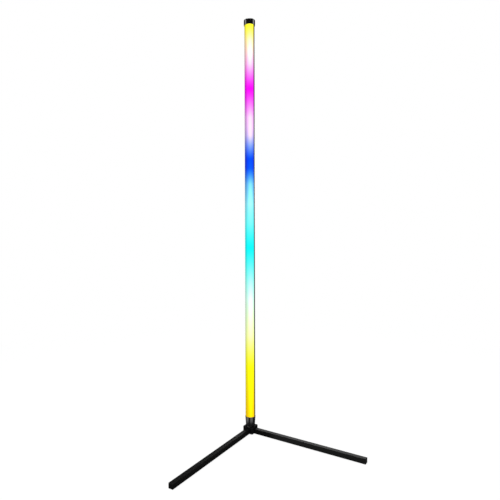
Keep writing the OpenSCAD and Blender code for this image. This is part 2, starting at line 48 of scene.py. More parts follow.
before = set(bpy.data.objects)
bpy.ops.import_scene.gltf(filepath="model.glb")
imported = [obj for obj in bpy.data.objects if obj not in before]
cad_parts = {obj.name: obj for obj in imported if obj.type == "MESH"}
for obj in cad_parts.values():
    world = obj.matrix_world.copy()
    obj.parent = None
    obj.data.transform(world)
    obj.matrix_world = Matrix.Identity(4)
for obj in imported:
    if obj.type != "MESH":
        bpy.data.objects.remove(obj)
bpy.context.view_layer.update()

MM = 0.001
TOUCH = 0.01 * MM  # what lies closer than this is taken as the same place
WELD = 0.002 * MM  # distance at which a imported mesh's doubles are merged
LEG_TURNS = {"right": math.radians(-45.0), "left": math.radians(-135.0)}  # from +X
QUARTER = math.pi / 2

PIN_LOW, PIN_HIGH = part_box("inlet_pin")
BACK = ((PIN_LOW + PIN_HIGH) / 2 * Vector((1, 1, 0))).normalized()  # the pole's back, where the inlet is
FRONT = -BACK
POLE_TURN = math.atan2(FRONT.x, -FRONT.y)  # turn of the pole's own frame about +Z
POLE_FOOT_Z, POLE_TOP_Z = (corner.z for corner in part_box("diffuser"))


def turned(point, turn):
    """The point in a frame that is turned about +Z."""
    return Matrix.Rotation(-turn, 3, "Z") @ point


def own_box(node, turn):
    """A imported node's lowest and highest corners in a frame that is turned about +Z."""
    points = [turned(v.co, turn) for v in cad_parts[node].data.vertices]
    return Vector(map(min, zip(*points))), Vector(map(max, zip(*points)))


POLE_RADIUS = own_box("pole_channel", POLE_TURN)[1].x


# ---- settings


def setting_maker(make, **kind):
    """A maker of settings of one kind; a setting's own arguments go before the kind's."""

    def setting(label, note, default, **own):
        return make(name=label, description=note, default=default, **{**kind, **own})

    return setting


length = setting_maker(FloatProperty, subtype="DISTANCE", unit="LENGTH", min=0.0, precision=5)
angle = setting_maker(FloatProperty, subtype="ANGLE", unit="ROTATION")
share = setting_maker(FloatProperty, subtype="FACTOR", min=0.0, max=1.0)
tint = setting_maker(FloatVectorProperty, subtype="COLOR", size=3, min=0.0, max=1.0)
position = setting_maker(FloatVectorProperty, subtype="TRANSLATION", unit="LENGTH", size=3)
count = setting_maker(IntProperty, min=1)


class LampSizes(PropertyGroup):
    """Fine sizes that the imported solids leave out."""

    moulded_edge: length("Moulded edge", "Rounding of the hub's and foot's outer edges", 0.35 * MM)
    plug_edge: length("Plug edge", "Rounding round a leg plug's face", 0.9 * MM)
    tube_edge: length("Tube edge", "Rounding at the cut ends of a leg tube", 0.25 * MM)
    lip_edge: length("Lip", "Rounding of the cap's lower edge and the inlet's mouth", 0.2 * MM)
    part_edge: length("Part edge", "Rounding of the components on the controller", 0.12 * MM)
    edge_steps: count("Edge steps", "Segments across a rounded edge", 3)
    foot_steps: count("Foot edge steps", "The same on the glossy foot, which shows them more", 8)
    chip_pitch: length("Chip pitch", "Distance from one light chip to the next", 16.7 * MM)
    lens_d: length("Lens diameter", "Diameter of a light chip's resin window", 4.2 * MM)
    solder_pad: length("Solder pad", "Side of a copper pad on the light strip", 1.8 * MM)
    rib_pitch: length("Rib pitch", "Distance between the ribs under a rubber pad", 2.0 * MM)
    rib_depth: length("Rib depth", "Depth of the grooves between those ribs", 0.25 * MM)
    pad_rise: length("Solder height", "How far a solder pad stands on the strip", 0.06 * MM)
    pin_pitch: length("Pin pitch", "Distance between the legs of an integrated circuit", 1.27 * MM)


class LampColours(PropertyGroup):
    """Colours of the finishes."""

    gloss_black: tint("Glossy black", "Cap and foot mouldings", (0.0014, 0.0014, 0.0015))
    satin_black: tint("Satin black", "Hub, cover and plugs", (0.0035, 0.0035, 0.0038))
    paint_black: tint("Leg paint", "Powder coat of the legs", (0.003, 0.003, 0.0029))
    anodised: tint("Anodised black", "Channel of the pole", (0.024, 0.0245, 0.026))
    rubber: tint("Rubber", "Pads under the base", (0.018, 0.018, 0.019))
    zinc: tint("Zinc", "Plated screws, washers and nut", (0.52, 0.53, 0.55))
    bolt_steel: tint("Bolt steel", "Dark steel of the pole bolt", (0.12, 0.12, 0.13))
    brass: tint("Brass", "Insert, pin and tabs", (0.66, 0.46, 0.19))
    nylon: tint("Nylon", "Sliding washer and plug", (0.74, 0.73, 0.68))
    strip_white: tint("Strip white", "Solder mask of the light strip", (0.8, 0.8, 0.77))
    copper: tint("Tinned copper", "Pads of the light strip", (0.8, 0.62, 0.42))
    chip_white: tint("Chip white", "Housings of the light chips", (0.82, 0.82, 0.8))
    resin: tint("Resin", "Windows of the light chips", (0.86, 0.83, 0.55))
    foam: tint("Foam tape", "Tape behind the controller", (0.66, 0.66, 0.62))
    board_green: tint("Board green", "Solder mask of the controller", (0.015, 0.13, 0.05))
    pale_wire: tint("Pale insulation", "Lead of the light strip", (0.62, 0.62, 0.6))
    red_wire: tint("Red insulation", "Lead of the power inlet", (0.5, 0.03, 0.025))


class GlowZone(PropertyGroup):
    """One colour of the light along the pole."""

    height: length("Height", "Height of this colour above the floor", 0.6)
    colour: tint(
        "Colour", "The diffuser's sides, as shown on a screen", (0.9, 0.9, 0.9), subtype="COLOR_GAMMA"
    )


# The light program shown: name, height in millimetres, screen colour at the diffuser's sides
LIGHT_PROGRAM = (
    ("amber", 49, "e2b906"), ("yellow", 198, "e4e00e"), ("straw", 293, "e1ea98"),
    ("mint white", 400, "c1ead8"), ("pale aqua", 446, "94e9dd"), ("cyan", 551, "0de3e3"),
    ("turquoise", 622, "5fe2e2"), ("aqua", 678, "7dcfdd"), ("sky", 735, "569ad2"),
    ("blue", 780, "0a3ccb"), ("deep blue", 806, "0634c8"), ("cornflower", 845, "5c72d0"),
    ("pale lilac", 873, "a897cb"), ("lilac", 898, "c29bce"), ("orchid", 924, "ca95cd"),
    ("magenta", 1005, "d206d0"), ("pink", 1073, "d894c5"), ("peach", 1106, "e2b9b7"),
    ("cream", 1139, "e6cd91"), ("top yellow", 1180, "e8e02c"),
)


class GlowSettings(PropertyGroup):
    """How the light falls on the diffuser."""

    zones: CollectionProperty(type=GlowZone, name="Zones", description="Colours along the pole")
    hot_turn: angle("Hot line", "Turn of the brightest line from the diffuser's middle", math.radians(19.0))
    side_gain: share("Side gain", "Brightness of the diffuser's sides", 0.87, max=4.0)
    low_gain: share("Lower front gain", "What the brightest line adds, low on the pole", 1.05, max=4.0)
    top_gain: share("Upper front gain", "What the brightest line adds, high on the pole", 1.8, max=4.0)
    gain_height: length("Gain height", "Height at which the one gain passes into the other", 0.7)
    gain_blend: length("Gain blend", "How far below and above it they blend", 0.06)
    falloff: share("Falloff", "How narrow the brightest line is", 5.0, max=20.0)


class StageSettings(PropertyGroup):
    """Floor, light and camera."""

    floor_radius: length("Floor radius", "Radius of the plain floor", 4.0)
    floor_white: share("Floor white", "Part of the floor that shows as plain white", 0.9)
    # Painted light on the floor, seen only in reflections: bright pools in two directions, and painted shade
    # at the given level outside them
    floor_mirrored: share("Floor in reflections", "Level of the floor outside its light pools", 0.1)
    left_painted_pool: angle("Left light pool", "Direction of one of the pools in reflections", math.radians(-172.0))
    front_painted_pool: angle("Front light pool", "Direction of the other pool", math.radians(-77.0))
    floor_colour: tint("Floor", "Pale colour of the floor", (0.9, 0.9, 0.9))
    sky_light: share("Soft light", "Level of the even light from all round", 0.55, max=4.0)
    backdrop_top: angle("Backdrop top", "Where the white backdrop ends in reflections", math.radians(12.0))
    dim_level: share("Dim studio", "Brightness of the rest of the studio in reflections", 0.03)
    camera_place: position("Camera", "Place of the camera", (-0.30126, -1.30490, 0.6168))
    camera_azimuth: angle("Azimuth", "Direction the camera looks, from +X", math.radians(77.0))
    camera_pitch: angle("Pitch", "How far the camera looks down", math.radians(3.1))
    camera_roll: angle("Roll", "Turn of the camera about its view", math.radians(0.15))
    lens: FloatProperty(name="Lens", description="Focal length in millimetres", default=32.976, min=1.0)


SENSOR_WIDTH = 36.0  # millimetres, to which the focal length belongs

# Where a level on the stage starts to rise and where it is full
# The pools are painted light on the floor, seen only in reflections; nearer the pole than where they begin,
# the floor stays dim as a painted shadow round the base
PAINTED_POOL_SPREAD = (0.75, 0.97)  # cosine of the angle from a light pool's direction
PAINTED_SHADE_EDGE = (0.058, 0.086)  # metres from the pole, where the pools begin
FAR_FLOOR = (0.6, 1.6)  # metres from the pole, where the floor turns all white
BACKDROP_BEHIND = (-0.3, 0.2)  # cosine of the angle from the camera's direction
BACKDROP_BLUR = 0.035  # of the backdrop's top edge in reflections

# Soft boxes, which all face the pole: name, place, width, height, watts
SOFT_BOXES = (
    ("left_strip", (-1.46, 0.33, 1.5), 0.8, 1.6, 7.5),
    ("right_strip", (1.45, -0.39, 1.5), 0.4, 1.6, 6.0),
    ("back_softbox", (1.1, 2.0, 1.05), 1.2, 0.8, 9.0),
    ("overhead", (-0.3, -0.5, 2.8), 1.8, 1.8, 60.0),
)
LIT_SPOT = Vector((0.0, 0.0, 0.9))  # where they point


def settings(name):
    return getattr(bpy.context.scene, name)


# ---- nodes as expressions


def operators(operation):
    """Python methods that add one kind of Math node: the plain form and the reflected one."""
    return (
        lambda self, other: self.math(operation, self, other),
        lambda self, other: self.math(operation, other, self),
    )


class Socket:
    """An output socket in Python arithmetic: an expression on values adds its Math nodes."""

    __add__, __radd__ = operators("ADD")
    __sub__, __rsub__ = operators("SUBTRACT")
    __mul__, __rmul__ = operators("MULTIPLY")
    __truediv__, __rtruediv__ = operators("DIVIDE")
    __pow__, __rpow__ = operators("POWER")
    at_least = operators("MAXIMUM")[0]
    at_most = operators("MINIMUM")[0]

    def __init__(self, nodes, socket):
        self.nodes = nodes
        self.socket = socket

    def out(self, name):
        return Socket(self.nodes, self.socket.node.outputs[name])

    def math(self, operation, *values):
        return self.nodes.node("ShaderNodeMath", {"operation": operation}, dict(enumerate(values)))

    def step(self, low, high):
        """0 below low, 1 above high and a smooth rise between; low above high turns it round."""
        values = {"Value": self, "From Min": low, "From Max": high}
        return self.nodes.node("ShaderNodeMapRange", {"interpolation_type": "SMOOTHSTEP"}, values)


class Nodes:
    """A node tree being built."""

    def __init__(self, tree):
        self.tree = tree
        tree.nodes.clear()

    def node(self, kind, options=None, values=None, output=0):
        """Adds a node: first its options, such as a ramp's stops, then its sockets' values or links."""
        made = self.tree.nodes.new(kind)
        for name, value in (options or {}).items():
            if name == "stops":
                self.place_stops(made.color_ramp, value)
            else:
                setattr(made, name, value)
        for name, value in (values or {}).items():
            if isinstance(value, Socket):
                self.tree.links.new(value.socket, made.inputs[name])
            else:
                made.inputs[name].default_value = value
        return Socket(self, made.outputs[output]) if made.outputs else None

    @staticmethod
    def place_stops(ramp, stops):
        while len(ramp.elements) < len(stops):
            ramp.elements.new(0.5)
        for element, (position, colour) in zip(ramp.elements, stops):
            element.position = position
            element.color = (*colour, 1.0)

    def vector(self, operation, *values):
        """A Vector Math node; a length or a dot product is one value."""
        output = "Value" if operation in ("LENGTH", "DOT_PRODUCT") else "Vector"
        return self.node("ShaderNodeVectorMath", {"operation": operation}, dict(enumerate(values)), output)

    def rays(self):
        """Masks of what the camera sees itself, and of what it sees mirrored or through glass."""
        seen = self.node("ShaderNodeLightPath", output="Is Camera Ray")
        return seen, seen.out("Is Glossy Ray").at_least(seen.out("Is Transmission Ray"))


WHITE = (1.0, 1.0, 1.0, 1.0)
SCREEN_GAMMA = 2.2
COLOUR_A, COLOUR_B, COLOUR_RESULT = 6, 7, 2  # the Mix node's colour sockets


class Finish(Nodes):
    """A material of the lamp, read from Object coordinates."""

    def __init__(self, name):
        self.material = bpy.data.materials.new(name)
        self.material.use_nodes = True
        super().__init__(self.material.node_tree)
        self.place = self.node("ShaderNodeTexCoord", output="Object")

    def stretched(self, x, y, z, turn=0.0):
        """The place, turned about +Z by turn and then scaled along each axis."""
        spun = self.node("ShaderNodeMapping", {}, {"Vector": self.place, "Rotation": (0, 0, -turn)})
        return self.node("ShaderNodeMapping", {}, {"Vector": spun, "Scale": (x, y, z)})

    def noise(self, scale, detail=2.0, rough=0.5, place=None):
        values = {"Vector": place or self.place, "Scale": scale, "Detail": detail, "Roughness": rough}
        return self.node("ShaderNodeTexNoise", {}, values)

    def cells(self, scale):
        return self.node("ShaderNodeTexVoronoi", {}, {"Vector": self.place, "Scale": scale})

    def blend(self, factor, low, high):
        """A colour between low and high; a plain colour is three numbers."""
        pair = [c if isinstance(c, Socket) else (*c, 1.0) for c in (low, high)]
        values = {0: factor, COLOUR_A: pair[0], COLOUR_B: pair[1]}
        return self.node("ShaderNodeMix", {"data_type": "RGBA"}, values, COLOUR_RESULT)

    def scaled(self, colour, level):
        """A colour times a value, through Vector Math."""
        return self.node("ShaderNodeVectorMath", {"operation": "SCALE"}, {0: colour, "Scale": level})

    def bump(self, height, distance, normal=None):
        values = {"Height": height, "Distance": distance, "Strength": 1.0}
        if normal:
            values["Normal"] = normal
        return self.node("ShaderNodeBump", {}, values)

    def surface(self, colour, rough, normal, level=0.5, others=None):
        """The material; level is the shader's specular level, and others are its sockets by name."""
        values = {"Base Color": colour, "Roughness": rough, "Normal": normal, "Specular IOR Level": level}
        shader = self.node("ShaderNodeBsdfPrincipled", {}, {**values, **(others or {})})
        self.node("ShaderNodeOutputMaterial", {}, {"Surface": shader})
        return self.material


class Recipe(Nodes):
    """A geometry node tree with named inputs; its result is realised and given one material."""

    KINDS = {int: "NodeSocketInt", float: "NodeSocketFloat"}

    def __init__(self, name, inputs):
        tree = bpy.data.node_groups.new(name, "GeometryNodeTree")
        tree.is_modifier = True
        super().__init__(tree)
        self.inputs = inputs
        for label, default in inputs.items():
            kind = self.KINDS[type(default)]
            tree.interface.new_socket(name=label, in_out="INPUT", socket_type=kind).default_value = default
        tree.interface.new_socket(name="Geometry", in_out="OUTPUT", socket_type="NodeSocketGeometry")
        self.source = tree.nodes.new("NodeGroupInput")

    def __getitem__(self, label):
        """The input of that name."""
        return Socket(self, self.source.outputs[label])

    def along(self, x=0.0, y=0.0, z=0.0):
        return self.node("ShaderNodeCombineXYZ", {}, {0: x, 1: y, 2: z})

    def joined(self, parts):
        join = self.tree.nodes.new("GeometryNodeJoinGeometry")
        for part in parts:
            self.tree.links.new(part.socket, join.inputs[0])
        return Socket(self, join.outputs[0])

    def moved(self, shape, shift=(0, 0, 0), turn=(0, 0, 0)):
        values = {"Geometry": shape, "Translation": shift, "Rotation": turn}
        return self.node("GeometryNodeTransform", {}, values)

    def block(self, x, y, z):
        return self.node("GeometryNodeMeshCube", {}, {"Size": self.along(x, y, z)})

    def rod(self, sides, radius, depth):
        """A cylinder along Y."""
        values = {"Vertices": sides, "Radius": radius, "Depth": depth}
        return self.moved(self.node("GeometryNodeMeshCylinder", {}, values), turn=(QUARTER, 0, 0))

    def repeated(self, shape, start, **pitch):
        """The shape at each point of a straight row of the recipe's Count."""
        values = {"Count": self["Count"], "Start Location": start, "Offset": self.along(**pitch)}
        row = self.node("GeometryNodeMeshLine", {}, values)
        return self.node("GeometryNodeInstanceOnPoints", {}, {"Points": row, "Instance": shape})

    def grow(self, name, result, turn, slot, body, look=None, nodes=()):
        """Turns the result about +Z, ends the tree, runs it and makes a piece of its plain mesh."""
        placed = self.moved(result, turn=(0, 0, turn))
        real = self.node("GeometryNodeRealizeInstances", {}, {0: placed})
        values = {"Geometry": real, "Material": finish(look or slot)}
        painted = self.node("GeometryNodeSetMaterial", {}, values)
        end = self.tree.nodes.new("NodeGroupOutput")
        self.tree.links.new(painted.socket, end.inputs[0])
        piece = new_object(name, bpy.data.meshes.new(name))
        modifier = piece.modifiers.new("Recipe", "NODES")
        modifier.node_group = self.tree
        for item in self.tree.interface.items_tree:
            if item.in_out == "INPUT":
                modifier[item.identifier] = self.inputs[item.name]
        dress(applied(piece), slot, body, *nodes)


# ---- mesh helpers

FLAT = math.radians(0.4)  # faces that differ by less are one flat face
SHARP = math.radians(20.0)  # edges that bend by more can be rounded
SMOOTH_BELOW = 32.0  # degrees, for shading
WIRE_BEND = math.radians(60.0)  # triangles of a wire that bend by less are joined in pairs


def new_object(name, mesh):
    piece = bpy.data.objects.new(name, mesh)
    bpy.context.scene.collection.objects.link(piece)
    return piece


def applied(piece):
    """The piece with its modifiers turned into plain mesh."""
    bpy.context.view_layer.update()
    graph = bpy.context.evaluated_depsgraph_get()
    mesh = bpy.data.meshes.new_from_object(piece.evaluated_get(graph), depsgraph=graph)
    piece.modifiers.clear()
    piece.data = mesh
    if not len(mesh.polygons):
        raise RuntimeError(f"{piece.name} came out empty")
    return piece


def merged(node):
    """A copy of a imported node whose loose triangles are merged."""
    work = bmesh.new()
    work.from_mesh(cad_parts[node].data)
    bmesh.ops.remove_doubles(work, verts=work.verts, dist=WELD)
    return work


def welded(node):
    """The same, with the triangles of its flat faces joined."""
    work = merged(node)
    bmesh.ops.dissolve_limit(work, angle_limit=FLAT, verts=work.verts, edges=work.edges, delimit={"NORMAL"})
    return work


def round_edges(work, width, steps, wanted):
    """Rounds the sharp edges that wanted(edge) picks."""
    edges = [e for e in work.edges if e.is_manifold and e.calc_face_angle() > SHARP and wanted(e)]
    if not edges:
        raise RuntimeError("no edge to round")
    bmesh.ops.bevel(
        work, geom=edges, offset=width, segments=steps, profile=0.5, affect="EDGES", clamp_overlap=True
    )


def smooth_object(work, name):
    """A working mesh made an object with smooth shading; the working mesh is freed."""
    mesh = bpy.data.meshes.new(name)
    bmesh.ops.recalc_face_normals(work, faces=work.faces)
    work.to_mesh(mesh)
    work.free()
    mesh.shade_smooth()
    return new_object(name, mesh)


def finished_piece(work, name, smooth_below=SMOOTH_BELOW):
    """A working mesh made an object, smooth but for its sharp edges, with its flat faces kept flat."""
    piece = smooth_object(work, name)
    piece.data.set_sharp_from_angle(angle=math.radians(smooth_below))
    flat = piece.modifiers.new("Flat faces", "WEIGHTED_NORMAL")
    flat.keep_sharp = True
    flat.weight = 100
    return applied(piece)


def refine(node, name, slot, body, rounding=(), smooth_below=SMOOTH_BELOW, look=None):
    """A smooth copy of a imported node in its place; rounding is a width, steps and the edges' test."""
    work = welded(node)
    if rounding:
        round_edges(work, *rounding)
    piece = finished_piece(work, name, smooth_below)
    piece.data.materials.append(finish(look or slot))
    dress(piece, slot, body, node)
    return piece


def dress(piece, slot, body, *nodes):
    """Gives a new piece its finish, its body and the nodes that it stands for."""
    if not piece.data.materials:
        piece.data.materials.append(finish(slot))
    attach(piece, body)
    if nodes:
        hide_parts(*nodes)


def paint(slot, *nodes):
    """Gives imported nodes, which stay as they are, their finish."""
    for node in nodes:
        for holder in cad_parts[node].material_slots:
            holder.material = finish(slot)


def middle(edge):
    return (edge.verts[0].co + edge.verts[1].co) / 2


def at_back(node):
    """A test for the edges of the node's end that faces the pole's back."""
    end = max(v.co.dot(BACK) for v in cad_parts[node].data.vertices)
    return lambda edge: middle(edge).dot(BACK) > end - TOUCH


# ---- finishes

MADE = {}


def finish(slot):
    """The finish of a slot, or one that a piece calls for by name, made once."""
    if slot not in MADE:
        look = settings("lamp_colours")
        if slot in PLAIN_FINISHES:
            maker, name, colour, *rest = PLAIN_FINISHES[slot]
            MADE[slot] = maker(name, getattr(look, colour), *rest)
        else:
            MADE[slot] = OWN_FINISHES[slot](look)
    return MADE[slot]


def shade(colour, level):
    return [c * level for c in colour]


def gloss_black(look):
    """Polished moulded plastic: a slight flow ripple, faint handling smudges and hairlines."""
    f = Finish("Glossy black moulding")
    ripple = f.noise(170.0, detail=1.0)
    smudge = f.noise(60.0, detail=4.0, rough=0.6).step(0.52, 0.72)
    hair = f.noise(1.0, detail=1.0, place=f.stretched(2600.0, 2600.0, 90.0)).step(0.66, 0.72)
    colour = f.blend(smudge * 0.5, look.gloss_black, shade(look.gloss_black, 1.7))
    rough = 0.07 + smudge * 0.05 + hair * 0.1
    normal = f.bump(ripple, 0.02 * MM, f.bump(hair, 0.002 * MM))
    return f.surface(colour, rough, normal, 1.0, {"IOR": 1.6})


def black_plastic(look):
    """Moulded plastic with a fine spark-eroded grain, rubbed a little smoother in places."""
    f = Finish("Grained black moulding")
    grain = f.noise(2400.0, detail=3.0, rough=0.65)
    rubbed = f.noise(90.0, detail=3.0).step(0.5, 0.75)
    colour = f.blend(grain, shade(look.satin_black, 0.7), shade(look.satin_black, 1.5))
    rough = 0.46 - rubbed * 0.1
    normal = f.bump(grain, 0.012 * MM)
    return f.surface(colour, rough, normal, 0.05)


def leg_paint(look):
    """Satin powder coat: orange peel, fine specks and rubbed marks."""
    f = Finish("Satin powder coat")
    peel = f.noise(750.0, detail=1.5)
    grain = f.noise(3400.0)
    speck = f.cells(900.0).step(0.16, 0.08)
    rubbed = f.noise(34.0, detail=5.0, rough=0.7).step(0.56, 0.7)
    worn = f.blend(rubbed * 0.6, look.paint_black, shade(look.paint_black, 1.5))
    colour = f.blend(speck * 0.35, worn, shade(look.paint_black, 3.0))
    rough = 0.34 + grain * 0.08 - rubbed * 0.08
    normal = f.bump(peel, 0.02 * MM, f.bump(grain, 0.006 * MM))
    return f.surface(colour, rough, normal, 0.1)


def black_aluminium(look):
    """Anodised extrusion: long die lines, and a tone that drifts slowly along the length."""
    f = Finish("Black anodised extrusion")
    lines = f.noise(1.0, detail=3.0, rough=0.7, place=f.stretched(2200.0, 2200.0, 5.0))
    fine = f.noise(1.0, place=f.stretched(9000.0, 9000.0, 25.0))
    drift = f.noise(6.0)
    tone = (lines * 0.6 + drift * 0.4).step(0.3, 0.7)
    colour = f.blend(tone, shade(look.anodised, 0.75), shade(look.anodised, 1.3))
    rough = 0.34 + lines * 0.16
    normal = f.bump(lines, 0.006 * MM, f.bump(fine, 0.002 * MM))
    return f.surface(colour, rough, normal, 0.15, {"Metallic": 0.3 + tone * 0.2})


def milky_diffuser(look):
    """Milky plastic lit from inside: the light program along the pole, brightest on one line.

    The zones are colours as a screen shows them, so a Gamma node makes them linear. The gain
    lifts the front past white, as an overexposed light does.
    """
    glow = settings("lamp_glow")
    f = Finish("Lit milky diffuser")
    span = POLE_TOP_Z - POLE_FOOT_Z
    stops = [((z.height - POLE_FOOT_Z) / span, tuple(z.colour)) for z in glow.zones]
    height = f.node("ShaderNodeSeparateXYZ", {}, {0: f.place}).out("Z")
    shown = f.node("ShaderNodeValToRGB", {"stops": stops}, {0: (height - POLE_FOOT_Z) / span})
    light = f.node("ShaderNodeGamma", {}, {"Color": shown, "Gamma": SCREEN_GAMMA})

    outward = f.vector("NORMALIZE", f.vector("MULTIPLY", f.place, (1.0, 1.0, 0.0)))
    facing = f.vector("DOT_PRODUCT", outward, Matrix.Rotation(glow.hot_turn, 3, "Z") @ FRONT)
    upper = height.step(glow.gain_height - glow.gain_blend, glow.gain_height + glow.gain_blend)
    front = glow.low_gain + upper * (glow.top_gain - glow.low_gain)
    gain = glow.side_gain + front * facing.at_least(0.0) ** glow.falloff

    cloud = f.noise(220.0)
    lines = f.noise(1.0, place=f.stretched(3000.0, 3000.0, 12.0))
    # The skin's base colour is the glow's own colour, dimmed: painted light from inside in the surface
    # colour
    skin = f.scaled(light, 0.05 + cloud * 0.02)
    rough = 0.46 + lines * 0.08
    lit = {"Emission Color": f.scaled(light, gain * (0.96 + cloud * 0.04)), "Emission Strength": 1.0}
    return f.surface(skin, rough, f.bump(lines, 0.003 * MM), 0.05, lit)


def pad_rubber(look):
    """Matt rubber with a little pale dust in its pores."""
    f = Finish("Matt rubber")
    pores = f.noise(2600.0, detail=3.0, rough=0.7)
    dust = f.noise(140.0, detail=4.0).step(0.5, 0.75) * 0.5
    colour = f.blend(dust, look.rubber, [0.03 + c for c in look.rubber])
    rough = 0.78 + pores * 0.14
    normal = f.bump(pores, 0.02 * MM)
    return f.surface(colour, rough, normal, 0.25)


def plated(name, colour, rough, drift):
    """Plated or turned metal: a tone that drifts in clouds to another, and fine turning marks."""
    f = Finish(name)
    cloud = f.noise(420.0, detail=3.0)
    marks = f.noise(5200.0)
    tone = f.blend(cloud.step(0.4, 0.7), colour, drift)
    roughness = rough + cloud * 0.1 + marks * 0.05
    return f.surface(tone, roughness, f.bump(marks, 0.003 * MM), others={"Metallic": 1.0})


def soft_plastic(name, colour, rough, grain_scale, level=0.4):
    """Plain soft plastic with a cloudy tone and a fine skin."""
    f = Finish(name)
    cloud = f.noise(grain_scale / 8, detail=3.0)
    skin = f.noise(grain_scale)
    tone = f.blend(cloud, shade(colour, 0.88), shade(colour, 1.06))
    return f.surface(tone, rough + cloud * 0.1, f.bump(skin, 0.006 * MM), level)


def foam_tape(look):
    """Closed-cell foam: small bubbles in colour and relief."""
    f = Finish("Foam tape")
    bubbles = f.cells(1500.0)
    colour = f.blend(bubbles, shade(look.foam, 0.7), look.foam)
    return f.surface(colour, 0.9, f.bump(bubbles, 0.12 * MM), 0.2)


def green_board(look):
    """Solder mask over copper: paler tracks that run along the board, between pads."""
    f = Finish("Green solder mask")
    across = f.stretched(1.0, 1.0, 0.35, turn=POLE_TURN)
    values = {"Vector": across, "Scale": 420.0, "Mortar Size": 0.12, "Mortar Smooth": 0.1}
    tracks = f.node("ShaderNodeTexBrick", {}, values, output="Fac")
    weave = f.noise(2200.0)
    colour = f.blend(tracks, look.board_green, shade(look.board_green, 1.8))
    rough = 0.3 + weave * 0.08
    normal = f.bump(tracks, 0.03 * MM, f.bump(weave, 0.004 * MM))
    return f.surface(colour, rough, normal, 0.45)


# Finishes that differ in a few values: the maker, the material's name, its colour, its roughness,
# and the tone that a metal drifts to, or a plastic's scale of grain and specular level
PLAIN_FINISHES = {
    "steel": (plated, "Zinc plate", "zinc", 0.24, (0.5, 0.5, 0.42)),
    "bolt_steel": (plated, "Dark bolt steel", "bolt_steel", 0.34, (0.192, 0.192, 0.208)),
    "brass": (plated, "Turned brass", "brass", 0.26, (0.528, 0.368, 0.152)),
    "copper": (plated, "Tinned copper pads", "copper", 0.3, (0.7, 0.68, 0.62)),
    "nylon": (soft_plastic, "Natural nylon", "nylon", 0.36, 1600.0),
    "strip_white": (soft_plastic, "White solder mask", "strip_white", 0.3, 1100.0),
    "light_chip": (soft_plastic, "Chip housing", "chip_white", 0.4, 2400.0),
    "resin": (soft_plastic, "Yellow resin window", "resin", 0.16, 2800.0, 0.5),
    "pale_insulation": (soft_plastic, "Pale wire insulation", "pale_wire", 0.38, 1800.0),
    "red_insulation": (soft_plastic, "Red wire insulation", "red_wire", 0.38, 1800.0),
}
MAKERS = (gloss_black, black_plastic, leg_paint, black_aluminium)
MAKERS += (milky_diffuser, pad_rubber, foam_tape, green_board)
OWN_FINISHES = {maker.__name__: maker for maker in MAKERS}


# ---- pieces


